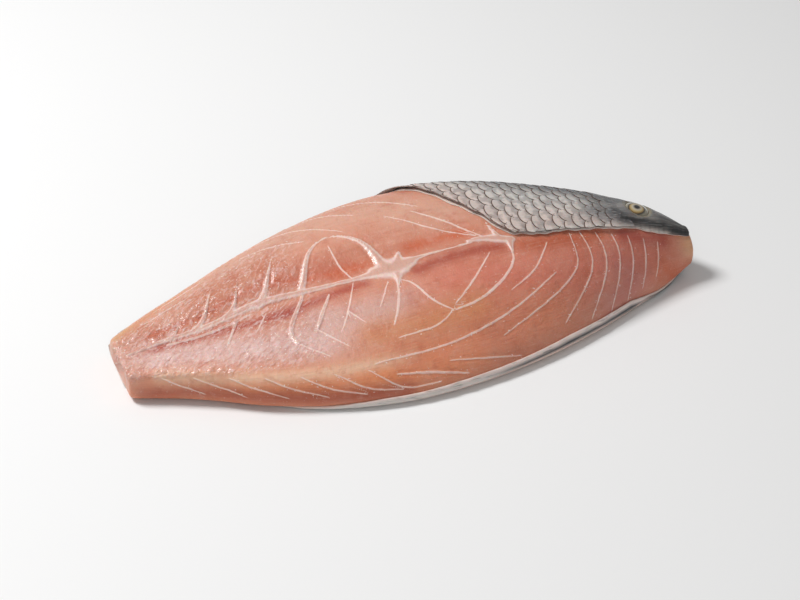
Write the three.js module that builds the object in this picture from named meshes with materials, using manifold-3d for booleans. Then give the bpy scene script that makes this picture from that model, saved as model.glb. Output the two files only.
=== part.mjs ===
// A raw fish fillet that lies skin side down: a block of pink muscle cut square at the tail and blunt
// at the snout, the scaled skin that still wraps its underside and back, and the eye that sits in the
// skin of the head. Millimetres. +X runs from the tail cut to the snout, +Y towards the fish's back and
// +Z up. The fillet rests on z = 0, and the origin is the middle of its bounding box, on that plane.
import * as THREE from "three";
import { LoftGeometry } from "three/addons/geometries/LoftGeometry.js";
import { mergeVertices } from "three/addons/utils/BufferGeometryUtils.js";
import Module from "manifold-3d";

// Driving sizes.
const LENGTH = 268; // tail cut to snout
const WIDTH = 116; // scale of the sections from belly to back
const HEIGHT = 40.5; // resting plane to the crest of the upper lobe
const SKIN = 1.6; // thickness of the skin with its scales
const GAP = 0.3; // clearance that keeps neighbouring pieces apart
const EYE_ACROSS = 13; // the eyeball's diameter in the plane of the skin
const EYE_DEEP = 7; // the eyeball from front to back
const EYE_PROUD = 1.1; // how far the eyeball bulges out of the skin
const TAIL_WIDTH = 35; // the tail cut from its belly edge to its back edge
const TAIL_SKEW = 3; // how far the tail cut runs back between those edges
const CUT_ROUND = 1.6; // rounding of the flesh at the edges of the two end cuts

// Where things are along the fillet, as shares of its length from the tail cut.
const SKEW_FADE = 0.12; // the tail cut's slant is gone here
const SEAM_TURN = [0.55, 0.67]; // the skin's edge crosses the upper lobe between these
const BELLY_FREE = [0.2, 0.42]; // the skin's belly edge comes out from under the flesh between these
const EYE_SHARE = 0.914;

// Where things are round the section, counted in the rails below.
const EYE_ROUND = 5.02;
const BELLY_TUCK = 0.25; // the skin's belly edge stays this far under the flesh at the tail

// Facets.
const END_CROWDING = 0.35; // how much closer the steps along the fillet are at its ends, from 0 to 1
const FLESH_ALONG = 48;
const FLESH_ROUND = 40;
const SKIN_ALONG = 42;
const SKIN_ACROSS = 16;
const EYE_FACETS = 16;

// The rings that close an end: how much of the section is kept, and how far out, in CUT_ROUND. The
// flesh is rounded at its cuts. The bed that is cut out of the skin runs straight on past them.
const CUT_RINGS = [
  [0.94, 0.65],
  [0.84, 0.92],
  [0.5, 0.97],
  [0.2, 1],
];
const BED_RINGS = [
  [1, 2],
  [0.5, 2.1],
  [0.2, 2.2],
];

// The form, as rails that run from tail to snout. Each gives its place at the stations: y as a share
// of WIDTH from the fillet's middle, z as a share of HEIGHT. A section passes through them in order,
// over the top from the belly to the back and home along the underside.
const STATIONS = [0, 0.104, 0.216, 0.328, 0.44, 0.552, 0.664, 0.776, 0.869, 0.944, 1];
const RAILS = {
  bellyFoot: {
    y: [-0.13, -0.21, -0.335, -0.412, -0.446, -0.425, -0.37, -0.275, -0.172, -0.09, -0.03],
    z: [0.05, 0.05, 0.05, 0.05, 0.05, 0.05, 0.05, 0.05, 0.05, 0.08, 0.17],
  },
  bellyWall: {
    y: [-0.136, -0.217, -0.338, -0.414, -0.444, -0.422, -0.362, -0.266, -0.163, -0.085, -0.04],
    z: [0.18, 0.18, 0.18, 0.17, 0.15, 0.14, 0.14, 0.15, 0.17, 0.2, 0.25],
  },
  bellyShoulder: {
    y: [-0.12, -0.197, -0.304, -0.366, -0.392, -0.372, -0.318, -0.23, -0.138, -0.075, -0.042],
    z: [0.33, 0.36, 0.385, 0.39, 0.355, 0.34, 0.33, 0.34, 0.36, 0.35, 0.32],
  },
  lowerLobe: {
    y: [-0.06, -0.085, -0.13, -0.155, -0.172, -0.18, -0.163, -0.12, -0.078, -0.05, -0.036],
    z: [0.36, 0.4, 0.49, 0.58, 0.68, 0.72, 0.72, 0.68, 0.61, 0.49, 0.4],
  },
  lateralLine: {
    y: [0.01, 0.026, 0.043, 0.043, 0.039, 0.03, 0.009, -0.004, -0.004, -0.013, -0.01],
    z: [0.355, 0.41, 0.53, 0.645, 0.76, 0.85, 0.9, 0.88, 0.78, 0.62, 0.48],
  },
  upperLobe: {
    y: [0.07, 0.125, 0.18, 0.215, 0.235, 0.235, 0.21, 0.165, 0.12, 0.075, 0.015],
    z: [0.37, 0.49, 0.655, 0.81, 0.925, 0.99, 1.0, 0.95, 0.85, 0.71, 0.5],
  },
  backShoulder: {
    y: [0.13, 0.265, 0.375, 0.46, 0.505, 0.505, 0.45, 0.36, 0.275, 0.19, 0.035],
    z: [0.29, 0.39, 0.54, 0.68, 0.79, 0.84, 0.84, 0.78, 0.68, 0.55, 0.41],
  },
  backFoot: {
    y: [0.15, 0.305, 0.42, 0.5, 0.55, 0.55, 0.5, 0.415, 0.32, 0.22, 0.045],
    z: [0.12, 0.16, 0.2, 0.23, 0.26, 0.27, 0.26, 0.24, 0.22, 0.2, 0.2],
  },
  backUnderside: {
    y: [0.1, 0.22, 0.34, 0.42, 0.46, 0.45, 0.41, 0.33, 0.25, 0.17, 0.02],
    z: [0, 0, 0, 0, 0, 0, 0, 0, 0, 0.04, 0.14],
  },
  bellyUnderside: {
    y: [-0.08, -0.14, -0.22, -0.3, -0.33, -0.31, -0.26, -0.18, -0.11, -0.06, 0],
    z: [0, 0, 0, 0, 0, 0, 0, 0, 0, 0.04, 0.14],
  },
};
const RAIL_NAMES = Object.keys(RAILS);
const railIndex = (name) => RAIL_NAMES.indexOf(name);

const smoothstep = ([from, to], x) => THREE.MathUtils.smoothstep(x, from, to);
const railCurves = RAIL_NAMES.map((name) => {
  const { y, z } = RAILS[name];
  const places = STATIONS.flatMap((_, i) => [y[i] * WIDTH, z[i] * HEIGHT]);
  return new THREE.CubicInterpolant(STATIONS, places, 2, new Float32Array(2));
});

// The closed curve of the flesh's section at a share of the length. Its underside dips below the
// plane that the flesh rests on, and placeOn cuts it flat there.
function sectionAt(share) {
  const points = railCurves.map((rail) => {
    const [y, z] = rail.evaluate(share);
    return new THREE.Vector3(0, y, z);
  });
  return new THREE.CatmullRomCurve3(points, true, "centripetal");
}

// A point of the fillet: `round` counts rails round the section, and `out` is the distance outside
// the flesh. Everything that would hang below the skin's underside lies flat on it.
function placeOn(section, share, round, out = 0) {
  const turn = THREE.MathUtils.euclideanModulo(round / RAIL_NAMES.length, 1);
  const point = section.getPoint(turn);
  const along = section.getTangent(turn);
  point.y -= along.z * out;
  point.z += along.y * out;
  point.z = Math.max(point.z, SKIN + GAP - out);
  const slant = 1 - smoothstep([0, SKEW_FADE], share);
  point.x = LENGTH * share - (slant * TAIL_SKEW * point.y) / TAIL_WIDTH;
  return point;
}

// Shares of the length for `count` steps, closer together at the two ends where the form turns faster.
function sharesAlong(count) {
  return Array.from({ length: count + 1 }, (_, i) => {
    const even = i / count;
    return even - (END_CROWDING * Math.sin(2 * Math.PI * even)) / (2 * Math.PI);
  });
}

// The muscle: sections from tail to snout, and at each end the rings that close it. `out` grows it on
// all sides.
function fleshGeometry(out, endRings) {
  const ring = (share) => {
    const section = sectionAt(share);
    return Array.from({ length: FLESH_ROUND }, (_, i) => {
      const round = (-i / FLESH_ROUND) * RAIL_NAMES.length;
      return placeOn(section, share, round, out);
    });
  };
  const drawnIn = (points, keep, along) => {
    const middle = new THREE.Vector3();
    points.forEach((p) => middle.addScaledVector(p, 1 / points.length));
    return points.map((p) => {
      const moved = p.clone().lerp(middle, 1 - keep);
      moved.x = p.x + along;
      return moved;
    });
  };
  const inset = CUT_ROUND / LENGTH;
  const shares = sharesAlong(FLESH_ALONG).map((s) => inset + (1 - 2 * inset) * s);
  const rings = shares.map(ring);
  const caps = (end, sign) =>
    endRings.map(([keep, rise]) => drawnIn(end, keep, sign * (CUT_ROUND * rise + out)));
  const tail = caps(rings[0], -1).reverse();
  const snout = caps(rings[rings.length - 1], 1);
  return new LoftGeometry([...tail, ...rings, ...snout], { capStart: true, capEnd: true });
}

// The skin's sheet, before the flesh is cut out of it. From its seam it runs down the back and under
// the flesh to the belly foot. On the tail half the seam lies behind the upper lobe; on the head half
// it has crossed the lobe and reached the lateral line.
function skinGeometry() {
  const bellyEdge = railIndex("bellyFoot") + RAIL_NAMES.length;
  const backEdge = railIndex("backShoulder");
  const lateral = railIndex("lateralLine");
  const sections = sharesAlong(SKIN_ALONG).map((share) => {
    const section = sectionAt(share);
    const seam = THREE.MathUtils.lerp(backEdge, lateral, smoothstep(SEAM_TURN, share));
    const belly = bellyEdge - BELLY_TUCK * (1 - smoothstep(BELLY_FREE, share));
    const across = Array.from({ length: SKIN_ACROSS + 1 }, (_, i) =>
      THREE.MathUtils.lerp(seam, belly, i / SKIN_ACROSS),
    );
    const inner = across.map((round) => placeOn(section, share, round, -SKIN));
    const outer = across.map((round) => placeOn(section, share, round, GAP + SKIN));
    return [...inner, ...outer.reverse()];
  });
  return new LoftGeometry(sections, { capStart: true, capEnd: true });
}

// The eyeball, flattened from front to back, with its pole turned out of the skin.
function eyeGeometry(grow) {
  const ball = new THREE.SphereGeometry(0.5, EYE_FACETS, EYE_FACETS / 2);
  const skinAt = (share, round) => placeOn(sectionAt(share), share, round, GAP + SKIN);
  const ahead = skinAt(EYE_SHARE + 0.01, EYE_ROUND).sub(skinAt(EYE_SHARE - 0.01, EYE_ROUND));
  const backwards = skinAt(EYE_SHARE, EYE_ROUND + 0.1).sub(skinAt(EYE_SHARE, EYE_ROUND - 0.1));
  const outwards = ahead.cross(backwards).normalize();
  const centre = skinAt(EYE_SHARE, EYE_ROUND).addScaledVector(outwards, EYE_PROUD - EYE_DEEP / 2);
  const turn = new THREE.Quaternion().setFromUnitVectors(new THREE.Vector3(0, 1, 0), outwards);
  const size = new THREE.Vector3(EYE_ACROSS, EYE_DEEP, EYE_ACROSS).addScalar(2 * grow);
  return ball.applyMatrix4(new THREE.Matrix4().compose(centre, turn, size));
}

// Boolean cuts.
const wasm = await Module();
wasm.setup();

function solidOf(geometry) {
  const bare = new THREE.BufferGeometry();
  bare.setAttribute("position", geometry.getAttribute("position"));
  bare.setIndex(geometry.getIndex());
  const merged = mergeVertices(bare, 1e-3);
  return new wasm.Manifold(
    new wasm.Mesh({
      numProp: 3,
      vertProperties: merged.attributes.position.array,
      triVerts: new Uint32Array(merged.index.array),
    }),
  );
}

function geometryOf(solid) {
  const { vertProperties, triVerts } = solid.getMesh();
  const geometry = new THREE.BufferGeometry();
  geometry.setAttribute("position", new THREE.BufferAttribute(vertProperties, 3));
  geometry.setIndex(new THREE.BufferAttribute(triVerts, 1));
  geometry.computeVertexNormals();
  return geometry;
}

const socket = solidOf(eyeGeometry(GAP));
const skinBed = solidOf(fleshGeometry(GAP, BED_RINGS));
const pieces = {
  flesh: geometryOf(solidOf(fleshGeometry(0, CUT_RINGS)).subtract(socket)),
  skin: geometryOf(solidOf(skinGeometry()).subtract(skinBed).subtract(socket)),
  eye: eyeGeometry(0),
};
const materials = {
  flesh: new THREE.MeshStandardMaterial({ color: 0xd99f8c, roughness: 0.35, metalness: 0 }),
  skin: new THREE.MeshStandardMaterial({ color: 0x8f9196, roughness: 0.3, metalness: 0.1 }),
  eye: new THREE.MeshStandardMaterial({ color: 0x4a3f22, roughness: 0.1, metalness: 0 }),
};

const fillet = new THREE.Group();
for (const [name, geometry] of Object.entries(pieces)) {
  const mesh = new THREE.Mesh(geometry, materials[name]);
  mesh.name = name;
  fillet.add(mesh);
}

// The origin goes to the middle of the bounding box, on the resting plane.
const box = new THREE.Box3().setFromObject(fillet);
const middle = box.getCenter(new THREE.Vector3());
fillet.position.set(-middle.x, -middle.y, -box.min.z);

export default fillet;
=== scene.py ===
import math

import bmesh
import bpy
import numpy as np
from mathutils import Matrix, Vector, noise
from mathutils.bvhtree import BVHTree
from mathutils.kdtree import KDTree


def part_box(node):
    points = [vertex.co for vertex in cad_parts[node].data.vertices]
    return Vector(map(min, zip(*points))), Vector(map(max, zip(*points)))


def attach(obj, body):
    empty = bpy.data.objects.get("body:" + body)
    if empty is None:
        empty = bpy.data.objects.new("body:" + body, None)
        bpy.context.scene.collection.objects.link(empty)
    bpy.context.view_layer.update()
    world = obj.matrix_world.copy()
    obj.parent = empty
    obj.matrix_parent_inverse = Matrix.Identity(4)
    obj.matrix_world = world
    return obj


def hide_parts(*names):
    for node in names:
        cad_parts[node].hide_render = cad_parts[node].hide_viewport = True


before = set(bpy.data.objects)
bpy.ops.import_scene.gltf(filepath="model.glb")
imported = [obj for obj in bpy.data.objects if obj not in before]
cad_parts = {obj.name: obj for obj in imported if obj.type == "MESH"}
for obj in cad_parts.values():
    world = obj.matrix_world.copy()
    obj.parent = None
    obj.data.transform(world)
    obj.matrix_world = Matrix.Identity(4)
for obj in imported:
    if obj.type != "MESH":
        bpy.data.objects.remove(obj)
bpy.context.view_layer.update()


# Table, light and camera.
# The fillet lies on a plain white table. One wide soft light hangs behind its tail, so the head end and
# the near edge throw a soft shadow, and the white room fills the rest.
CAMERA_AZIMUTH, CAMERA_ELEVATION = math.radians(-18), math.radians(36)
CAMERA_DISTANCE = 0.690
CAMERA_TARGET = Vector((-0.0072, -0.0069, 0.015))

camera = bpy.data.objects.new("camera", bpy.data.cameras.new("camera"))
camera.data.lens, camera.data.sensor_width = 70, 36
backwards = Vector((
    math.sin(CAMERA_AZIMUTH) * math.cos(CAMERA_ELEVATION),
    -math.cos(CAMERA_AZIMUTH) * math.cos(CAMERA_ELEVATION),
    math.sin(CAMERA_ELEVATION),
))
camera.location = CAMERA_TARGET + CAMERA_DISTANCE * backwards
camera.rotation_mode = "QUATERNION"
camera.rotation_quaternion = backwards.to_track_quat("Z", "Y")
camera.data.clip_start = 0.01
bpy.context.scene.collection.objects.link(camera)
bpy.context.scene.camera = camera
bpy.context.scene.view_settings.view_transform = "Standard"


def soft_light(name, place, size, power):
    lamp = bpy.data.lights.new(name, "AREA")
    lamp.shape, lamp.size, lamp.energy = "DISK", size, power
    holder = bpy.data.objects.new(name, lamp)
    holder.location = place
    holder.rotation_mode = "QUATERNION"
    holder.rotation_quaternion = Vector(place).to_track_quat("Z", "Y")
    bpy.context.scene.collection.objects.link(holder)


soft_light("key_light", (-0.62, 0.42, 1.12), 0.42, 14.6)
soft_light("front_fill", (-0.3, -1.0, 0.8), 0.9, 2)

room = bpy.data.worlds.new("room")
room.use_nodes = True
room.node_tree.nodes["Background"].inputs["Color"].default_value = (1, 0.995, 0.985, 1)
room.node_tree.nodes["Background"].inputs["Strength"].default_value = 0.3
bpy.context.scene.world = room

bm = bmesh.new()
bmesh.ops.create_grid(bm, x_segments=1, y_segments=1, size=4)
table = bpy.data.objects.new("table", bpy.data.meshes.new("table"))
bm.to_mesh(table.data)
bm.free()
bpy.context.scene.collection.objects.link(table)
white = bpy.data.materials.new("white_table")
white.use_nodes = True
white.node_tree.nodes["Principled BSDF"].inputs["Base Color"].default_value = (0.86, 0.86, 0.86, 1)
white.node_tree.nodes["Principled BSDF"].inputs["Roughness"].default_value = 0.6
table.data.materials.append(white)


# Muscle.
# The flank muscle is soft, wet and translucent. White sheets of connective tissue cross it and end at the
# cut face as lines, and the thick ones stand a little proud of the muscle, which shrinks back from them.
MM = 0.001
AXIS_Y = -5.0  # the fillet's long axis, which runs inside the muscle, in millimetres
MUSCLE_FLOOR = 1.9  # the muscle's flat underside lies this high over the table
TAIL_END, HEAD_END = (corner.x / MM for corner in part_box("flesh"))
TAIL_SLANT = 0.086  # the tail cut runs back this much for each millimetre towards the back

# Places on the muscle are given as (x in millimetres, turn in degrees round the long axis: 0 is the top,
# -90 the belly side and 90 the back side). Thick tissue has half a width at each of its points.
THICK_TISSUE = {
    "lateral_cord": [(-130, -12, 0.5), (-115, -1, 1.2), (-95, 1, 1.4), (-72, 5, 1.9), (-50, 3, 1.4),
                     (-30, 1, 1.0), (-17, 0, 2.4)],
    "second_cord": [(-112, -8, 0.5), (-95, -7, 0.8), (-75, 0, 0.6)],
    "star": [(-18, 1, 3.0), (-9, 0, 6.2), (-1, 1, 2.6)],
    "star_top": [(-13, 2, 3.0), (-15, 10, 1.4), (-24, 15, 0.8), (-34, 17, 0.4), (-44, 13, 1.0),
                 (-50, 5, 1.6)],
    "star_back": [(-7, 2, 3.0), (-5, 6, 1.0)],
    "star_ahead": [(-5, 1, 2.6), (2, 2, 1.0), (14, 2, 0.45), (27, 2, 0.5)],
    "star_down": [(-9, -5, 1.8), (-10, -10, 0.8), (-11, -15, 0.4)],
    "knot": [(26, 3, 0.7), (33, 3, 1.6), (41, 0, 2.4), (45, -2, 1.6)],
    "knot_down": [(44, -2, 1.8), (43, -8, 0.9), (43, -14, 0.4)],
    "knot_hook": [(37, 10, 0.4), (40, 1, 1.3)],
    "branch_a": [(-70, 4, 2.0), (-64, 10, 0.9), (-57, 18, 0.25)],
    "branch_b": [(-85, 3, 1.6), (-79, 8, 0.7), (-76, 14, 0.25)],
    "branch_c": [(-99, 1, 1.6), (-93, 8, 0.8), (-87, 17, 0.25)],
    "branch_d": [(-110, 0, 1.2), (-105, 8, 0.25)],
    "lower_a": [(-51, 1, 0.7), (-58, -15, 1.0), (-62, -28, 0.9), (-60, -38, 0.5)],
    "lower_b": [(-40, -4, 0.5), (-47, -20, 0.9), (-51, -32, 0.4)],
    "lower_c": [(-81, -2, 0.7), (-86, -18, 0.5), (-89, -28, 0.25)],
}
THIN_TISSUE = [  # half a width, and places
    # Down from the star and the knot, and the loop where they meet.
    (0.3, [(-9, -9), (-4, -15), (0, -32), (8, -47)]),
    (0.35, [(-10, -8), (-13, -25), (-18, -42)]),
    (0.4, [(43, -6), (43, -18), (36, -32), (22, -45), (8, -48)]),
    (0.25, [(32, -10), (22, -26), (11, -41)]),
    (0.22, [(8, -47), (0, -57), (-17, -58)]),
    # Below the lateral cord.
    (0.2, [(-69, -5), (-74, -17)]),
    (0.2, [(-60, -38), (-50, -55)]),
    (0.2, [(-50, -30), (-41, -50)]),
    (0.2, [(-29, -3), (-34, -18), (-40, -35)]),
    (0.15, [(-35, -22), (-31, -32)]),
    (0.15, [(-15, -10), (-21, -24)]),
    # Along the upper lobe, closing in on the knot.
    (0.15, [(-120, 22), (-100, 20)]),
    (0.15, [(-112, 30), (-90, 27)]),
    (0.18, [(-76, 38), (-50, 29), (-26, 18)]),
    (0.18, [(-70, 27), (-44, 19)]),
    (0.18, [(-48, 37), (-18, 24)]),
    (0.2, [(-34, 38), (-6, 29), (11, 22)]),
    (0.18, [(-3, 19), (12, 12), (30, 5)]),
    (0.28, [(9, 19), (22, 12), (33, 4)]),
    (0.22, [(-33, 13), (-33, 9), (-28, 2)]),
    # Under the flank's bows.
    (0.3, [(58, -44), (36, -64), (5, -77), (-30, -77)]),
    (0.2, [(59, -14), (50, -34), (38, -45)]),
    (0.35, [(-22, -94), (-8, -99), (6, -106)]),
    (0.15, [(2, -93), (32, -104)]),
]
# The sheets cross the head's flank in bows, which lean further back the nearer they are to the middle.
FLANK_BOWS, FIRST_BOW_X, BOW_SPACING, BOW_TURN = 7, 72, 7.2, -35
for sheet in range(FLANK_BOWS):
    upper_end = -10 - 0.8 * sheet**2
    lower_end = -84 - 14 * math.sin(math.pi * sheet / (FLANK_BOWS - 1))
    bow = []
    for turn in np.linspace(upper_end, lower_end, 6):
        lean = 45 / (1 + sheet)**1.5 if turn < BOW_TURN else 8 * min(sheet, 1)
        bow.append((FIRST_BOW_X + BOW_SPACING * sheet - lean * ((turn - BOW_TURN) / 50)**2, turn))
    THIN_TISSUE.append((0.2, bow))
# On the belly wall they slant down towards the head.
WALL_SHEETS, FIRST_SHEET_X, SHEET_SPACING = 7, -118, 14
for sheet in range(WALL_SHEETS):
    x = FIRST_SHEET_X + SHEET_SPACING * sheet
    turn = -64 - 3.5 * sheet
    slant = [(x, turn), (x + 6 + sheet, turn - 24), (x + 15 + 2 * sheet, -118 + 1.5 * sheet)]
    THIN_TISSUE.append((0.16, slant))


def smoothstep(low, high, value):
    t = np.clip((value - low) / (high - low), 0, 1)
    return t * t * (3 - 2 * t)


def spine_height(x):
    """The long axis's height over the table, in millimetres."""
    return 8 + 6 * np.sin(math.pi * np.clip((x - TAIL_END) / (HEAD_END - TAIL_END), 0, 1))


def new_piece(name, made):
    """Puts a bmesh into the scene as an object at the origin."""
    mesh = bpy.data.meshes.new(name)
    made.to_mesh(mesh)
    made.free()
    mesh.polygons.foreach_set("use_smooth", [True] * len(mesh.polygons))
    piece = bpy.data.objects.new(name, mesh)
    bpy.context.scene.collection.objects.link(piece)
    return piece


def apply_modifiers(piece):
    evaluated = piece.evaluated_get(bpy.context.evaluated_depsgraph_get())
    finished = bpy.data.meshes.new_from_object(evaluated)
    piece.modifiers.clear()
    piece.data = finished


def subdivide(piece, levels):
    modifier = piece.modifiers.new("subdivision", "SUBSURF")
    modifier.levels = modifier.render_levels = levels


bm = bmesh.new()
bm.from_mesh(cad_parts["flesh"].data)
bmesh.ops.remove_doubles(bm, verts=bm.verts, dist=1e-6)
bmesh.ops.join_triangles(bm, faces=bm.faces, angle_face_threshold=0.6, angle_shape_threshold=1.0)
muscle = new_piece("muscle", bm)
subdivide(muscle, 2)
apply_modifiers(muscle)
bm = bmesh.new()
bm.from_mesh(muscle.data)

# The muscle runs on smoothly under the eye, so its socket is relaxed away.
eye_points = np.array([v.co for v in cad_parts["eye"].data.vertices])
eye_centre = Vector(eye_points.mean(0))
eye_axis = Vector(np.linalg.svd(eye_points - eye_points.mean(0), full_matrices=False)[2][2])
eye_axis *= math.copysign(1, eye_axis.z)
socket = [v for v in bm.verts if (v.co - eye_centre).length < 14 * MM
          and (v.co - eye_centre).cross(eye_axis).length < 8.2 * MM and v.co.z > 15 * MM]
for _ in range(500):
    bmesh.ops.smooth_vert(bm, verts=socket, factor=0.5, use_axis_x=True, use_axis_y=True, use_axis_z=True)
bm.normal_update()
cut_face = BVHTree.FromBMesh(bm)


def from_spine(x, side, up):
    """Where a ray out of the long axis meets the smooth muscle, in metres, with the normal there."""
    slant = TAIL_SLANT * (1 - smoothstep(-134, -102, x))
    start = Vector((x - slant * AXIS_Y, AXIS_Y, spine_height(x))) * MM
    place, normal, _, _ = cut_face.ray_cast(start, Vector((-slant * side, side, up)).normalized())
    return place, normal


STEPS_X = np.arange(-133, 133.1, 2)


def reaches(side, up):
    """How far the muscle reaches from the long axis at each of STEPS_X, in millimetres."""
    found = [from_spine(x, side, up)[0] / MM for x in STEPS_X]
    return np.array([math.hypot(p.y - AXIS_Y, p.z - spine_height(x)) for p, x in zip(found, STEPS_X)])


REACH_BELLY, REACH_BACK, REACH_UP = reaches(-1, 0), reaches(1, 0), reaches(0, 1)


def on_muscle(x, turn):
    """The place and the normal at x millimetres and turn degrees."""
    angle = math.radians(turn)
    sideways = REACH_BELLY if math.sin(angle) < 0 else REACH_BACK
    side = math.sin(angle) * np.interp(x, STEPS_X, sideways)
    up = math.cos(angle) * np.interp(x, STEPS_X, REACH_UP)
    return from_spine(x, side, up)


def turns_of(places):
    """The turn of each place, given as rows of x, y, z in millimetres."""
    x, y, z = places.T
    side = y - AXIS_Y
    up = z - spine_height(x)
    wide = np.where(side < 0, np.interp(x, STEPS_X, REACH_BELLY), np.interp(x, STEPS_X, REACH_BACK))
    return np.degrees(np.arctan2(side / wide, up / np.interp(x, STEPS_X, REACH_UP)))


def smooth_row(points, step):
    """A smooth row through the points, about `step` apart in the first number."""
    points = np.array(points, float)
    padded = np.vstack([2 * points[0] - points[1], points, 2 * points[-1] - points[-2]])
    rows = []
    for before, start, end, after in zip(padded, padded[1:], padded[2:], padded[3:]):
        count = max(2, int(np.hypot(end[0] - start[0], 0.5 * (end[1] - start[1])) / step))
        t = (np.arange(count) / count)[:, None]
        square = (2 * before - 5 * start + 4 * end - after) * t**2
        cube = (3 * start - before - 3 * end + after) * t**3
        rows.append(0.5 * (2 * start + (end - before) * t + square + cube))
    return np.vstack([*rows, points[-1:]])


class Strand:
    """A line over the muscle: its places, directions and normals in millimetres, and its half widths."""

    def __init__(self, points, step=0.5):
        row = smooth_row(points, step)
        for _ in range(int(20 / step**2)):
            row[1:-1] = (row[:-2] + 2 * row[1:-1] + row[2:]) / 4
        found = [on_muscle(x, turn) for x, turn in row[:, :2]]
        self.places = np.array([place / MM for place, _ in found])
        self.normals = np.array([normal for _, normal in found])
        self.ways = np.gradient(self.places, axis=0)
        self.ways /= np.linalg.norm(self.ways, axis=1)[:, None]
        self.widths = row[:, 2]
        self.tree = KDTree(len(row))
        for i, place in enumerate(self.places.tolist()):
            self.tree.insert(place, i)
        self.tree.balance()

    def near(self, places, margin):
        """The indices of the places within the margin of the strand's box."""
        low, high = self.places.min(0) - margin, self.places.max(0) + margin
        return np.flatnonzero(((places > low) & (places < high)).all(1))

    def nearest(self, places):
        """For each place the strand's nearest step, and the distance to it."""
        found = [self.tree.find(place) for place in places.tolist()]
        return np.array([i for _, i, _ in found], int), np.array([gap for _, _, gap in found])


# The upper edge of the skin, as (x, turn). The face that shows up to it is cut finer than the underside.
SEAM = [(-134, 98), (-60, 80), (-25, 69), (0, 50), (15, 33), (30, 18), (45, 2), (55, -3), (85, -7),
        (105, -9), (120, -21), (134, -24)]
SEAM_X, SEAM_TURNS = np.array(SEAM, float).T


def seam_turn(x):
    """Where the skin's upper edge lies, in degrees."""
    return np.interp(x, SEAM_X, SEAM_TURNS) + 0.7 * np.sin(0.9 * x) + 0.6 * np.sin(0.37 * x + 1)


centres = np.array([face.calc_center_median() / MM for face in bm.faces])
turns = turns_of(centres)
upper_limit = np.minimum(seam_turn(centres[:, 0]) + 1.5, 58)
shown = (turns > -116) & (turns < upper_limit)
bm.faces.ensure_lookup_table()
edges = {edge for i in np.flatnonzero(shown) for edge in bm.faces[i].edges}
bmesh.ops.subdivide_edges(bm, edges=list(edges), cuts=1, use_grid_fill=True)
bm.normal_update()

places = np.array([v.co / MM for v in bm.verts])
normals = np.array([v.normal for v in bm.verts])
turns = turns_of(places)


# Thick tissue: the strands melt together where they meet.
BLEND = 5.0
heaped = np.zeros(len(places))
for points in THICK_TISSUE.values():
    strand = Strand(points)
    near = strand.near(places, 9)
    closest, distance = strand.nearest(places[near])
    heaped[near] += np.exp(BLEND * (1 - distance / strand.widths[closest]))
ragged = np.array([noise.fractal(Vector(place) / 2.2, 1.0, 2.0, 2) for place in places])
tissue_depth = np.log(heaped + 1e-6) / BLEND + 0.1 * ragged  # above 0 inside the tissue
tissue = smoothstep(-0.12, 0.12, tissue_depth)

# Thin tissue: how far each place lies to one side of the nearest line, so that the line stays crisp.
side = np.full(len(places), 5.0)
width = np.zeros(len(places))
best = np.full(len(places), 1e9)
for half_width, points in THIN_TISSUE:
    strand = Strand([(*point, half_width) for point in points])
    strand.widths = half_width * (0.4 + 0.7 * np.sin(np.linspace(0, math.pi, len(strand.widths))))
    near = strand.near(places, 5)
    closest, distance = strand.nearest(places[near])
    better = distance < best[near]
    rows, steps = near[better], closest[better]
    across = np.cross(strand.normals[steps], strand.ways[steps])
    side[rows] = ((places[rows] - strand.places[steps]) * across).sum(1)
    width[rows] = strand.widths[steps]
    best[rows] = distance[better]
reach = 1 - smoothstep(1.2, 2.2, best)
line = reach * (1 - smoothstep(width, width + 0.5, np.abs(side)))

# Relief, in millimetres: the tissue stands up, the muscle sinks beside it, and the surface is rumpled,
# most of all over the tail half, where the membrane has dried and creased.
folds = np.array([1 - abs(noise.fractal(Vector((x * 0.75 + y * 0.25, y - x * 0.45, z)) / 2.6, 1.0, 2.1, 3))
                  for x, y, z in places])
swell = np.array([noise.noise(Vector((x / 22, y / 13, z / 13))) for x, y, z in places])
uneven = np.array([noise.noise(Vector((x, y, z)) / 2.6) for x, y, z in places])
tail_half = 1 - smoothstep(-70, -5, places[:, 0])
wall = smoothstep(52, 64, -turns)
creased = tail_half * (1 - wall) * (1 - smoothstep(20, 30, turns))
creased *= 1 - smoothstep(-62, -30, places[:, 0])
beside = np.exp(-np.clip(-tissue_depth, 0, 9) * 1.1)
relief = (
    0.5 * smoothstep(-0.8, 0.9, tissue_depth)
    + 0.1 * uneven * tissue
    - 0.5 * beside * (1 - tissue)
    + 0.1 * line
    - 0.16 * reach * np.exp(-(side / 1.6)**2) * (1 - line)
    + (0.08 + 0.12 * tail_half + 0.35 * creased) * (folds - 0.8) * (1 - 0.7 * tissue)
    + 0.35 * swell
)
relief *= smoothstep(MUSCLE_FLOOR, 6, places[:, 2])
under_skin = smoothstep(-1, 1, turns - seam_turn(places[:, 0]))
relief *= 1 - under_skin
moved = places + normals * relief[:, None]
moved[:, 2] = np.maximum(moved[:, 2], MUSCLE_FLOOR)
for vertex, place in zip(bm.verts, moved):
    vertex.co = Vector(place) * MM

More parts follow.
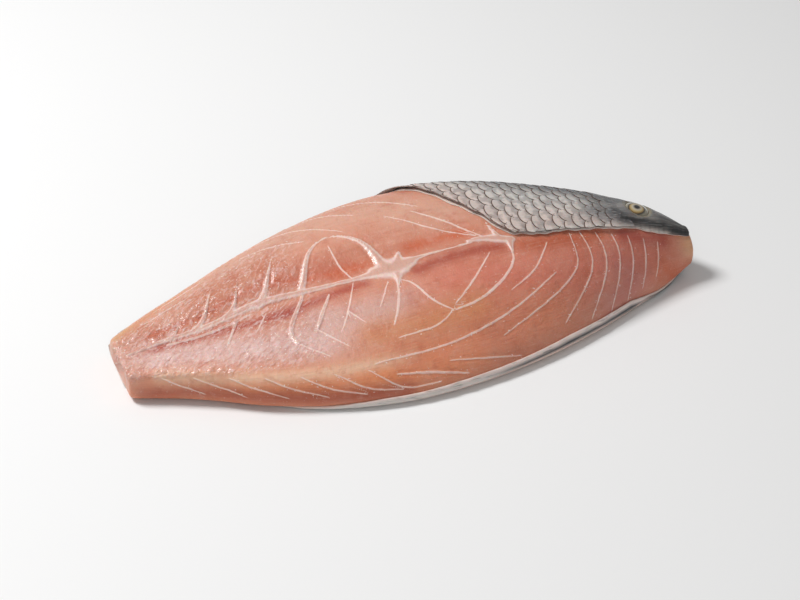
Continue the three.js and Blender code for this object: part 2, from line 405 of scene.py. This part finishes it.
# Colour, laid on in soft strokes: a linear colour, a radius and a strength along each row of points.
MUSCLE_PINK = (0.64, 0.27, 0.18)
STROKES = [
    ((0.68, 0.38, 0.28), 14, 0.85, [(-110, 28), (-60, 26), (-10, 24), (20, 18)]),
    ((0.66, 0.27, 0.13), 6, 0.8, [(-125, 38), (-90, 44), (-50, 48), (-10, 44)]),
    # Painted shade: a dark red strip in the crease just above the lateral cord, where the upper lobe
    # bulges over it.
    ((0.56, 0.17, 0.10), 5, 0.75, [(-62, 12), (-45, 10), (-28, 8)]),
    ((0.57, 0.21, 0.12), 8, 0.7, [(-95, 14), (-75, 15), (-62, 16)]),
    ((0.84, 0.30, 0.13), 9, 0.95, [(-128, -98), (-100, -96), (-60, -94), (-20, -92), (10, -88)]),
    # Painted shadow: a dark red line along the foot of the belly wall, next to the table.
    ((0.42, 0.09, 0.05), 4, 0.8, [(-128, -116), (-100, -117), (-60, -116), (-20, -112)]),
    ((0.76, 0.52, 0.48), 9, 0.9, [(-122, -24), (-100, -28), (-75, -34), (-50, -40)]),
    ((0.70, 0.44, 0.38), 9, 0.7, [(-50, -34), (-25, -38), (0, -36)]),
    ((0.64, 0.42, 0.38), 8, 0.6, [(-48, -20), (-28, -25), (-8, -28)]),
    ((0.82, 0.54, 0.38), 3.2, 0.85, [(-120, -56), (-95, -66), (-70, -71), (-40, -76), (-15, -80)]),
    ((0.66, 0.20, 0.14), 16, 0.85, [(15, -28), (50, -42), (80, -52), (108, -60)]),
    ((0.68, 0.25, 0.15), 12, 0.7, [(0, -42), (25, -60), (55, -75)]),
    ((0.66, 0.26, 0.12), 8, 0.8, [(-28, -48), (0, -52), (18, -50)]),
    ((0.72, 0.26, 0.15), 8, 0.7, [(-15, -88), (20, -88), (50, -84)]),
    # Painted shade: dark red strips in the valleys below and above the lateral cord, where the cord throws
    # its shade.
    ((0.42, 0.07, 0.04), 3.2, 0.9, [(-118, -9), (-100, -8), (-80, -8), (-64, -9), (-45, -5), (-24, -4)]),
    ((0.56, 0.13, 0.06), 2.6, 0.85, [(-118, 8), (-100, 8), (-80, 10), (-62, 10), (-45, 7), (-24, 6)]),
    ((0.40, 0.07, 0.05), 3.5, 0.85, [(-64, -8), (-56, -9)]),
    # Painted shade: dark red strips in the valleys above and below the cord's end at the star and the
    # strand running on ahead of it.
    ((0.60, 0.15, 0.07), 3.0, 0.85, [(-34, 5), (-26, 5), (-20, 6)]),
    ((0.60, 0.15, 0.07), 3.6, 0.95, [(0, 7), (14, 7), (27, 7)]),
    ((0.40, 0.08, 0.05), 3.6, 0.9, [(0, -6), (10, -4), (25, -3), (38, -5)]),
    ((0.48, 0.11, 0.05), 4.5, 0.85, [(50, -9), (68, -11), (85, -13)]),
    ((0.40, 0.07, 0.05), 4.5, 0.85, [(98, -16), (110, -24), (118, -30)]),
    ((0.56, 0.20, 0.17), 9, 0.7, [(92, -60), (100, -80), (85, -92)]),
    ((0.74, 0.42, 0.24), 5, 0.9, [(133, -60), (133, 0), (133, 40)]),
    ((0.60, 0.13, 0.05), 7, 0.95, [(118, -88), (127, -100)]),
    ((0.68, 0.37, 0.29), 7, 0.9, [(-133, -100), (-133, -40), (-133, 10)]),
    ((0.64, 0.34, 0.16), 4.5, 0.8, [(-131, 30), (-126, 45)]),
]


def lay_on(colour, places, strokes):
    """Paints the strokes over the colours of the places, in their order."""
    for paint, radius, strength, points in strokes:
        strand = Strand([(*point, radius) for point in points], step=2)
        near = strand.near(places, 2.5 * radius)
        distance = strand.nearest(places[near])[1]
        cover = (strength * np.exp(-(distance / radius)**2))[:, None]
        colour[near] = colour[near] * (1 - cover) + np.array(paint) * cover


colour = np.tile(MUSCLE_PINK, (len(places), 1))
lay_on(colour, places, STROKES)
bm.to_mesh(muscle.data)
bm.free()
muscle.data.polygons.foreach_set("use_smooth", [True] * len(muscle.data.polygons))


def keep_on_points(piece, name, values):
    """Stores a number, a vector or a colour for each point of a piece, for its material to read."""
    kind, key = {1: ("FLOAT", "value"), 3: ("FLOAT_VECTOR", "vector"), 4: ("FLOAT_COLOR", "color")}[
        1 if values.ndim == 1 else values.shape[1]]
    attribute = piece.data.attributes.new(name, kind, "POINT")
    attribute.data.foreach_set(key, values.astype(np.float32).ravel())


keep_on_points(muscle, "muscle_colour", np.hstack([colour, np.ones((len(colour), 1))]))
keep_on_points(muscle, "tissue_depth", np.clip(tissue_depth, -1, 2))
keep_on_points(muscle, "creased", creased)
keep_on_points(muscle, "folds_way", np.column_stack(
    [places[:, 0] + 0.6 * places[:, 1], places[:, 1] - 0.7 * places[:, 0], places[:, 2]]))
keep_on_points(muscle, "line_side", side)
keep_on_points(muscle, "line_width", width)
keep_on_points(muscle, "line_reach", reach)
keep_on_points(muscle, "grain", np.column_stack([places[:, 0], turns * 0.5, 0 * turns]))


class Reading:
    """A value that changes over a surface. Arithmetic on it adds Math nodes to its finish."""

    def __init__(self, finish, socket):
        self.finish, self.socket = finish, socket

    def __add__(self, other):
        return self.finish.maths("ADD", self, other)

    def __sub__(self, other):
        return self.finish.maths("SUBTRACT", self, other)

    def __rsub__(self, other):
        return self.finish.maths("SUBTRACT", other, self)

    def __mul__(self, other):
        return self.finish.maths("MULTIPLY", self, other)

    __radd__, __rmul__ = __add__, __mul__

    def above(self, low, high):
        """0 where the value is at most low, 1 where it is at least high, and smooth between."""
        node = self.finish.node(
            "ShaderNodeMapRange", {"interpolation_type": "SMOOTHSTEP"},
            {"Value": self, "From Min": low, "From Max": high})
        return Reading(self.finish, node.outputs["Result"])


class Finish:
    """A material on the Principled shader, built from readings of the surface."""

    def __init__(self, name, **values):
        self.material = bpy.data.materials.new(name)
        self.material.use_nodes = True
        self.tree = self.material.node_tree
        self.shader = self.tree.nodes["Principled BSDF"]
        for socket, value in values.items():
            self.shader.inputs[socket.replace("_", " ")].default_value = value

    def node(self, kind, settings=None, inputs=None):
        """Adds a node, with its settings made first and then its sockets filled or linked."""
        node = self.tree.nodes.new(kind)
        for name, value in (settings or {}).items():
            if name == "stops":
                ramp = node.color_ramp
                while len(ramp.elements) < len(value):
                    ramp.elements.new(0.5)
                for element, (place, shade) in zip(ramp.elements, value):
                    element.position = place
                    element.color = (*shade, 1)
            else:
                setattr(node, name, value)
        for name, value in (inputs or {}).items():
            if isinstance(value, Reading):
                self.tree.links.new(value.socket, node.inputs[name])
            else:
                node.inputs[name].default_value = value
        return node

    def maths(self, operation, *values):
        node = self.node("ShaderNodeMath", {"operation": operation}, dict(enumerate(values)))
        return Reading(self, node.outputs[0])

    def mix(self, share, first, second):
        """The first colour, turning into the second as the share grows."""
        first, second = ((*c, 1) if isinstance(c, tuple) else c for c in (first, second))
        node = self.node("ShaderNodeMix", {"data_type": "RGBA"}, {0: share, 6: first, 7: second})
        return Reading(self, node.outputs[2])

    def stored(self, name, output="Fac"):
        node = self.node("ShaderNodeAttribute", {"attribute_name": name})
        return Reading(self, node.outputs[output])

    def place(self, stretch=(1, 1, 1), of=None):
        """Object coordinates, or another vector, stretched."""
        of = of or Reading(self, self.node("ShaderNodeTexCoord").outputs["Object"])
        node = self.node("ShaderNodeVectorMath", {"operation": "MULTIPLY"}, {0: of, 1: stretch})
        return Reading(self, node.outputs["Vector"])

    def noise(self, place, scale, detail=3, roughness=0.5, distortion=0):
        node = self.node("ShaderNodeTexNoise", None, {
            "Vector": place, "Scale": scale, "Detail": detail, "Roughness": roughness,
            "Distortion": distortion})
        return Reading(self, node.outputs["Fac"])

    def bump(self, height, distance, strength):
        inputs = {"Height": height, "Distance": distance, "Strength": strength}
        return Reading(self, self.node("ShaderNodeBump", None, inputs).outputs["Normal"])

    def feed(self, **sockets):
        for socket, reading in sockets.items():
            self.tree.links.new(reading.socket, self.shader.inputs[socket.replace("_", " ")])


flesh = Finish("wet_muscle", Coat_Weight=0.22, Coat_Roughness=0.1, IOR=1.35, Subsurface_Weight=0.3,
               Subsurface_Scale=0.0025, Subsurface_Radius=(1.0, 0.3, 0.15))
tissue_mask = flesh.stored("tissue_depth").above(-0.25, 0.2)
side = flesh.stored("line_side")
wobble = (flesh.noise(flesh.place(), 240, 3) - 0.5) * 0.7
offset = flesh.maths("ABSOLUTE", side + wobble)
width = flesh.stored("line_width")
line_mask = (1 - (offset - width).above(0, 0.35)) * flesh.stored("line_reach")
mottle = flesh.noise(flesh.place(), 75, 5, 0.6)
blotch = flesh.noise(flesh.place(), 230, 4, 0.6)
grain = flesh.noise(flesh.place((0.06, 1.3, 1), flesh.stored("grain", "Vector")), 1.0, 4, 0.6)
fine = flesh.noise(flesh.place(), 620, 3)
meat = flesh.stored("muscle_colour", "Color")
meat = flesh.mix(mottle.above(0.45, 0.75) * 0.25, meat, (0.72, 0.40, 0.30))
meat = flesh.mix((1 - mottle.above(0.28, 0.5)) * 0.35, meat, (0.48, 0.13, 0.07))
meat = flesh.mix(grain.above(0.52, 0.72) * 0.16, meat, (0.76, 0.47, 0.38))
meat = flesh.mix((1 - grain.above(0.3, 0.46)) * 0.2, meat, (0.42, 0.10, 0.06))
meat = flesh.mix(blotch.above(0.56, 0.72) * 0.15, meat, (0.78, 0.52, 0.45))
meat = flesh.mix((1 - blotch.above(0.3, 0.44)) * 0.25, meat, (0.44, 0.11, 0.06))
thin_white = flesh.mix(line_mask * (0.25 + blotch * 0.9), meat, (0.90, 0.70, 0.63))
rim = 1 - flesh.stored("tissue_depth").above(0.3, 0.75)
white_shade = flesh.mix(rim * 0.75 + blotch * 0.3, (0.64, 0.36, 0.28), (0.86, 0.68, 0.62))
whole = flesh.mix(tissue_mask * 0.85, thin_white, white_shade)
creased = flesh.stored("creased")
creases = flesh.noise(flesh.place((1, 0.7, 1)), 300, 5, 0.65, 0.8)
wrinkles = flesh.noise(flesh.place((0.5, 1.1, 1), flesh.stored("folds_way", "Vector")), 0.42, 5, 0.62, 0.9)
height = creases + grain * 0.5 + line_mask * 0.2 + fine * 0.25 + creased * wrinkles * 2.6
normal = flesh.bump(height, 0.0007, 0.55)
# Over the creased tail half the wrinkles' crests and fine specks turn pale: partly the dried membrane's
# own colour and partly painted sheen.
film_and_sheen = creased * (wrinkles.above(0.5, 0.62) * 0.75 + fine.above(0.5, 0.62) * 0.3)
whole = flesh.mix(film_and_sheen * 0.55, whole, (0.84, 0.64, 0.61))
# Painted shade: the muscle turns dark red in the troughs of the wrinkles over the creased tail half.
whole = flesh.mix(creased * (1 - wrinkles.above(0.34, 0.5)) * 0.4, whole, (0.52, 0.19, 0.14))
# Painted glints: tiny white specks in the base colour all over, most of all along the thin tissue lines
# and over the creased tail half, standing in for highlights on the wet surface.
painted_glints = flesh.noise(flesh.place(), 1000, 1).above(0.69, 0.73)
painted_glints = painted_glints * (flesh.stored("line_reach") * 0.5 + creased * 0.6 + 0.12)
whole = flesh.mix(painted_glints, whole, (0.95, 0.86, 0.82))
flesh.feed(Base_Color=whole, Roughness=0.22 + mottle * 0.3, Normal=normal)
muscle.data.materials.clear()
muscle.data.materials.append(flesh.material)
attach(muscle, "root")
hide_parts("flesh")


# Skin.
# The skin is a thin tough sheet with a white fatty inner layer, left on the back, the cheek and the
# whole underside. It was sliced off the upper lobe, so its edge runs over the back in a slant.
SKIN_INSIDE, SKIN_THICKNESS = 0.05, 1.8  # the gap to the muscle, and the wall
SKIN_FLOOR = 0.3  # the skin's underside lies this high over the table, on its scales
BELLY_EDGE = [(-134, 213), (-90, 216), (-60, 228), (-30, 241), (0, 248), (30, 253), (60, 258), (95, 260),
              (115, 254), (134, 244)]  # the lower edge of the skin, as (x, turn)
END_ROUNDING = 2.4


def belly_turn(x):
    """Where the skin's lower edge lies, in degrees."""
    return np.interp(x, *np.array(BELLY_EDGE).T)


def skin_place(x, turn, out):
    """A place `out` millimetres outside the muscle, in metres, with the normal there."""
    inner_x = min(max(x, TAIL_END + END_ROUNDING), HEAD_END - END_ROUNDING)
    place, normal = on_muscle(inner_x, turn)
    place = place + normal * out * MM + Vector((x - inner_x, 0, 0)) * MM
    place.z = max(place.z, (MUSCLE_FLOOR - out) * MM)
    return place, normal


SKIN_START, SKIN_LENGTH = -133.5, 267.1
ACROSS, ALONG = 64, 150
bm = bmesh.new()
bmesh.ops.create_grid(bm, x_segments=ALONG, y_segments=ACROSS, size=0.5)
for vertex in bm.verts:
    x = SKIN_START + SKIN_LENGTH * (vertex.co.x + 0.5)
    share = vertex.co.y + 0.5
    start, end = seam_turn(x), belly_turn(x)
    turn = start + (end - start) * share
    vertex.co = skin_place(x, turn, SKIN_INSIDE)[0]
bm.normal_update()
if sum(face.normal.z for face in bm.faces) > 0:
    bmesh.ops.reverse_faces(bm, faces=bm.faces)
hide = new_piece("hide", bm)
modifier = hide.modifiers.new("thickness", "SOLIDIFY")
modifier.thickness, modifier.offset = SKIN_THICKNESS * MM, 1
subdivide(hide, 1)
apply_modifiers(hide)


def skin_shade(x, turn):
    """The skin's colour: dark over the back ridge, silver on the flank, pinkish at its cut edge."""
    ridge_start = np.interp(x, [-20, 10, 60, 110], [62, 36, 20, 8])
    ridge = smoothstep(0, 18, turn - ridge_start) * (1 - smoothstep(100, 150, turn))
    shade = np.outer(1 - ridge, (0.68, 0.62, 0.58)) + np.outer(ridge, (0.03, 0.037, 0.044))
    from_cut = turn - seam_turn(x)
    cut = 0.85 * (1 - smoothstep(3, 24, from_cut))
    shade = shade * (1 - cut)[:, None] + np.outer(cut, (0.74, 0.56, 0.50))
    belly = belly_turn(x) - turn
    blue = (1 - smoothstep(15, 50, belly)) * smoothstep(10, 40, x)
    shade = shade * (1 - blue)[:, None] + np.outer(blue, (0.05, 0.058, 0.065))
    lip = 1 - smoothstep(0.6, 2.2, belly)
    shade = shade * (1 - lip)[:, None] + np.outer(lip, (0.84, 0.70, 0.65))
    tailwards = 1 - smoothstep(-130, -100, x)
    return shade * (1 - tailwards)[:, None] + np.outer(tailwards, (0.50, 0.40, 0.33))


HEAD_STROKES = [
    ((0.12, 0.12, 0.125), 7.0, 0.85, [(90, 8), (98, 8), (105, 12)]),
    ((0.05, 0.05, 0.052), 6.0, 0.95, [(94, 22), (102, 32), (112, 36), (122, 30), (133, 12)]),
    ((0.07, 0.07, 0.072), 5.0, 0.9, [(119, 12), (126, 4), (133, -3)]),
    ((0.36, 0.34, 0.31), 2.2, 0.7, [(116, 2), (124, -2), (131, -6)]),
    ((0.02, 0.02, 0.022), 4.0, 1.0, [(98, 6), (104, 1), (110, -2), (118, -6), (126, -10), (133, -13)]),
    ((0.02, 0.02, 0.022), 3.5, 1.0, [(106, 0), (112, -3), (119, -7)]),
    ((0.70, 0.62, 0.57), 1.9, 1.0, [(52, -3), (68, -4), (84, -6), (97, -9), (106, -12), (113, -16),
                                    (120, -23)]),
]
ORBIT = 6.9  # the bony ring round the eye
SKIN_MM_PER_DEGREE = 0.6


def from_eye(places):
    """How far each place lies from the eye's axis, in millimetres."""
    offset = places - np.array(eye_centre / MM)
    along = offset @ np.array(eye_axis)
    return np.linalg.norm(offset - along[:, None] * np.array(eye_axis), axis=1)


places = np.array([v.co / MM for v in hide.data.vertices])
found = [cut_face.find_nearest(v.co) for v in hide.data.vertices]
base = np.array([place / MM for place, _, _, _ in found])
outwards = np.array([normal for _, normal, _, _ in found])
turns = turns_of(places)
around = np.where(turns < -80, turns + 360, turns)
depth = np.clip((np.linalg.norm(places - base, axis=1) - SKIN_INSIDE) / SKIN_THICKNESS, 0, 1)
from_seam = (around - seam_turn(places[:, 0])) * SKIN_MM_PER_DEGREE
eye_gap = from_eye(places)
from_belly = (belly_turn(places[:, 0]) - around) * SKIN_MM_PER_DEGREE
wave = np.array([noise.noise(Vector((x / 5, 0, 0))) for x in places[:, 0]])
thin_at_seam = (0.88 - 0.4 * smoothstep(45, 60, places[:, 0])) * (1 - smoothstep(0, 6, from_seam))
thin_at_belly = (0.5 + 0.3 * wave) * (1 - smoothstep(0, 4, from_belly))
thin = thin_at_seam + thin_at_belly
streaks = np.array([noise.noise(Vector((x / 9, turn / 4, 3))) for x, turn in zip(places[:, 0], around)])
headwards = smoothstep(86, 100, places[:, 0])
bulge = (
    -thin * depth * SKIN_THICKNESS
    + depth * headwards * 0.35 * streaks
    + depth * 0.9 * np.exp(-((eye_gap - ORBIT) / 1.3)**2)
    - depth * 0.9 * (1 - smoothstep(4.6, 6.4, eye_gap))
)
moved = places + outwards * bulge[:, None]
moved[:, 2] = np.maximum(moved[:, 2], SKIN_FLOOR)
hide.data.vertices.foreach_set("co", (moved * MM).astype(np.float32).ravel())
shade = skin_shade(places[:, 0], around)
lay_on(shade, base, HEAD_STROKES)
keep_on_points(hide, "skin_colour", np.hstack([shade, np.ones((len(shade), 1))]))
keep_on_points(hide, "depth", depth)
keep_on_points(hide, "eye_gap", eye_gap)
keep_on_points(hide, "grain", np.column_stack([places[:, 0], around * 0.5, 0 * around]))

leather = Finish("fish_skin", Specular_IOR_Level=0.35, Coat_Weight=0.2, Coat_Roughness=0.12,
                 Subsurface_Weight=0.1, Subsurface_Scale=0.002)
grain = leather.place((0.12, 1.0, 1), leather.stored("grain", "Vector"))
streak = leather.noise(grain, 0.8, 4, 0.6)
speck = leather.noise(leather.place(), 500, 3)
outer = leather.stored("skin_colour", "Color")
outer = leather.mix(streak.above(0.52, 0.66) * 0.35, outer, (0.34, 0.33, 0.31))
outer = leather.mix((1 - streak.above(0.3, 0.46)) * 0.5, outer, (0.05, 0.052, 0.055))
gap = leather.stored("eye_gap")
socket = gap.above(5.2, 6.0) * (1 - gap.above(6.9, 7.8))
outer = leather.mix(socket * 0.8, outer, (0.24, 0.21, 0.15))
fat = leather.mix(speck, (0.70, 0.50, 0.43), (0.80, 0.64, 0.57))
whole = leather.mix(leather.stored("depth").above(0.55, 0.85), fat, outer)
normal = leather.bump(streak + speck * 0.3, 0.0004, 0.5)
leather.feed(Base_Color=whole, Roughness=0.3 + speck * 0.25, Normal=normal)
hide.data.materials.clear()
hide.data.materials.append(leather.material)
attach(hide, "root")
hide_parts("skin")


# Scales.
# Each scale is a thin rounded plate rooted towards the head. Its free edge points to the tail and lies
# over the scales behind it. They stop at the cheek.
SCALE_ACROSS, SCALE_STEP, SCALE_LONG = 8.8, 4.5, 12.0
SCALE_SEAT = 1.9  # how far a scale's root lies outside the muscle
BACK_RIDGE = 60  # the rows of scales are counted from this turn
SLANT_END_X = 46  # the seam crosses the back in a slant as far as here
FREE_EDGE_LIFT, SCALE_THICK = 0.22, 0.12
rng = np.random.default_rng(7)

plate = bmesh.new()
bmesh.ops.create_grid(plate, x_segments=3, y_segments=6, size=0.5)
top = bmesh.ops.extrude_face_region(plate, geom=plate.faces[:])["geom"]
raised = {v for v in top if isinstance(v, bmesh.types.BMVert)}
for vertex in raised:
    vertex.co.z = 1
plate_mesh = bpy.data.meshes.new("plate")
plate.to_mesh(plate_mesh)
plate.free()
corners = np.array([v.co for v in plate_mesh.vertices])
bm = bmesh.new()
local, tones = [], []
rows = np.arange(-128, 93, SCALE_STEP)
for row, row_x in enumerate(rows):
    start = seam_turn(row_x + 0.8 * SCALE_LONG) + 1
    end = belly_turn(row_x) - 9
    sweep = np.arange(start, end, 2.0)
    ring = np.array([skin_place(row_x, turn, SCALE_SEAT)[0] / MM for turn in sweep])
    arc = np.concatenate([[0], np.cumsum(np.linalg.norm(np.diff(ring, axis=0), axis=1))])
    arc -= np.interp(BACK_RIDGE, sweep, arc)
    across = SCALE_ACROSS * (1 - 0.2 * smoothstep(40, 100, row_x))
    first = math.ceil(arc[0] / across - 0.5 * (row % 2) - 0.4)
    last = math.floor(arc[-1] / across - 0.5 * (row % 2))
    for count in range(first, last + 1):
        middle = (count + 0.5 * (row % 2)) * across + rng.uniform(-0.3, 0.3)
        x0 = row_x + rng.uniform(-0.4, 0.4)
        lift = FREE_EDGE_LIFT * rng.uniform(0.7, 1.3)
        tone = rng.uniform(0, 1)
        before = len(bm.verts)
        bm.from_mesh(plate_mesh)
        bm.verts.ensure_lookup_table()
        for (u, v, w), vertex in zip(corners, bm.verts[before:]):
            share = u + 0.5
            curve = 1 - math.sqrt(max(0, 1 - (1.9 * v)**2))
            x = x0 + share * SCALE_LONG * (1 - 0.38 * curve) + 3.4 * curve
            turn = np.interp(middle + v * across * 1.12, arc, sweep)
            if x < SLANT_END_X:
                x = max(x, np.interp(-turn, -SEAM_TURNS, SEAM_X) + 0.6)
            turn = min(max(turn, seam_turn(x) + 0.6), belly_turn(x) - 5)
            out = SCALE_SEAT + lift * (1 - share) - 0.25 * share - SCALE_THICK * (1 - w)
            vertex.co = skin_place(x, turn, SKIN_INSIDE + out)[0]
            vertex.co.z = max(vertex.co.z, (SKIN_FLOOR * share + SCALE_THICK * (1 - w)) * MM)
            local.append((share * SCALE_LONG, v * across, curve))
            tones.append(tone)
bmesh.ops.recalc_face_normals(bm, faces=bm.faces)
for edge in bm.edges:
    edge.smooth = edge.calc_face_angle(0) < 0.9
scales = new_piece("scales", bm)
places = np.array([v.co / MM for v in scales.data.vertices])
turns = turns_of(places)
around = np.where(turns < -80, turns + 360, turns)
shade = skin_shade(places[:, 0], around)
base = np.array([cut_face.find_nearest(v.co)[0] / MM for v in scales.data.vertices])
lay_on(shade, base, HEAD_STROKES)
keep_on_points(scales, "skin_colour", np.hstack([shade, np.ones((len(shade), 1))]))
keep_on_points(scales, "on_scale", np.array(local))
keep_on_points(scales, "tone", np.array(tones))

horn = Finish("fish_scales", Specular_IOR_Level=0.35, Coat_Weight=0.15, Coat_Roughness=0.15,
              Subsurface_Weight=0.1, Subsurface_Scale=0.001)
apart = horn.node("ShaderNodeSeparateXYZ", None, {"Vector": horn.stored("on_scale", "Vector")})
along = Reading(horn, apart.outputs["X"])
rays = horn.noise(horn.place((0.25, 1.6, 1), horn.stored("on_scale", "Vector")), 1.2, 2)
cloud = horn.noise(horn.place(), 240, 3)
body = horn.mix(horn.stored("tone") * 0.28, horn.stored("skin_colour", "Color"), (0.25, 0.26, 0.28))
body = horn.mix(rays.above(0.48, 0.7) * 0.4, body, (0.76, 0.72, 0.68))
body = horn.mix((1 - cloud.above(0.38, 0.55)) * 0.4, body, (0.13, 0.125, 0.13))
side_share = horn.maths("ABSOLUTE", Reading(horn, apart.outputs["Y"]))
covered = along.above(2.6, 4.6) * cloud.above(0.3, 0.55)
body = horn.mix(covered * (0.22 + side_share * 0.13), body, (0.035, 0.03, 0.032))
edge = 1 - along.above(0.25, 0.7)
body = horn.mix(edge * cloud.above(0.3, 0.5) * 0.95, body, (0.07, 0.03, 0.015))
horn.feed(Base_Color=body, Roughness=0.3 + cloud * 0.25, Normal=horn.bump(rays + cloud * 0.8, 0.0004, 0.6))
scales.data.materials.append(horn.material)
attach(scales, "root")
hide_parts("skin")


# Eye.
# The eyeball sits in the cheek under a clear wet cornea, with a cream iris ringed in gold and black.
PUPIL_SHIFT = np.array((-1.5, -1.7, 0))  # the eye looks a little down the cheek
bm = bmesh.new()
bm.from_mesh(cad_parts["eye"].data)
bmesh.ops.remove_doubles(bm, verts=bm.verts, dist=1e-6)
bmesh.ops.join_triangles(bm, faces=bm.faces, angle_face_threshold=0.6, angle_shape_threshold=1.0)
eyeball = new_piece("eyeball", bm)
subdivide(eyeball, 3)
apply_modifiers(eyeball)
places = np.array([v.co / MM for v in eyeball.data.vertices])
keep_on_points(eyeball, "eye_gap", from_eye(places - PUPIL_SHIFT))
pupil = Finish("fish_eye", Roughness=0.12, Coat_Weight=1.0, Coat_Roughness=0.03)
gap = pupil.stored("eye_gap") + (pupil.noise(pupil.place(), 420, 3) - 0.5) * 0.5
ramp = pupil.node("ShaderNodeValToRGB", {"stops": [
    (0.0, (0.004, 0.004, 0.004)), (0.17, (0.006, 0.006, 0.006)), (0.21, (0.14, 0.12, 0.09)),
    (0.32, (0.46, 0.41, 0.32)), (0.44, (0.44, 0.33, 0.15)), (0.52, (0.22, 0.13, 0.04)),
    (0.58, (0.02, 0.016, 0.014)), (0.68, (0.30, 0.27, 0.20)), (1.0, (0.36, 0.33, 0.26))]},
    {"Fac": gap * (1 / 6.5)})
pupil.feed(Base_Color=Reading(pupil, ramp.outputs["Color"]))
eyeball.data.materials.clear()
eyeball.data.materials.append(pupil.material)
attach(eyeball, "root")
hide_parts("eye")
